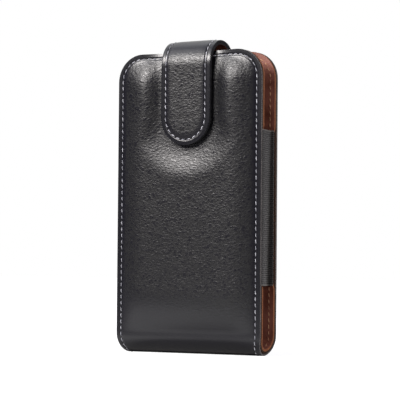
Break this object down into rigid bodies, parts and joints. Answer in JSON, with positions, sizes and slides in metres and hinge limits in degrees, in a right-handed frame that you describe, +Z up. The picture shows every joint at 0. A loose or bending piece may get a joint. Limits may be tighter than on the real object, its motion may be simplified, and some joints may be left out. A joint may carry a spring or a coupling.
{
  "type": "phone belt holster",
  "caption": "Upright leather phone pouch with elastic sides, a magnetic closing strap over the top and a swivelling spring belt clip on the back.",
  "frame": {"origin": "middle of the belt slot between clip plate and lever, on the swivel's axis, as worn upright", "axes": "+X to the side shown at the right of the picture, +Y from the padded front towards the wearer's belt, +Z up"},
  "size_m": [0.09, 0.0413, 0.1716],
  "materials": {
    "black_leather": "semi-gloss pebbled",
    "brown_leather": "satin",
    "core": "matte",
    "foam": "matte",
    "elastic": "matte ribbed",
    "magnet": "satin",
    "steel": "satin",
    "black_plastic": "matte"
  },
  "bodies": {
    "clip": {"clip_plate": "black_plastic", "clip_pin": "steel", "clip_spring": "steel"},
    "pouch": {"outer_shell": "black_leather", "core_sheet": "core", "lining_shell": "brown_leather", "front_pad": "foam", "keeper_disc": "steel", "elastic_right": "elastic", "elastic_left": "elastic", "strap_root_leather": "black_leather", "strap_root_lining": "brown_leather", "backing_plate": "steel", "swivel_base": "black_plastic", "swivel_rivet": "steel", "disc_spring": "steel"},
    "strap": {"strap_leather": "black_leather", "strap_lining": "brown_leather", "strap_magnet": "magnet"},
    "lever": {"clip_lever": "black_plastic"}
  },
  "joints": [
    {"name": "clip_swivel", "type": "hinge", "parent": "clip", "child": "pouch", "pos_m": [0, 0, 0], "axis": [0, 1, 0], "continuous": true},
    {"name": "strap_fold", "type": "hinge", "parent": "pouch", "child": "strap", "pos_m": [0, -0.0086, 0.0484], "axis": [-1, 0, 0], "range_deg": [0, 150]},
    {"name": "clip_jaw", "type": "hinge", "parent": "clip", "child": "lever", "pos_m": [0, 0.001, 0.0246], "axis": [1, 0, 0], "range_deg": [0, 14], "stiffness_Nm_per_rad": 0.35, "springref_deg": -11.46, "deforming": ["clip_spring"]}
  ]
}
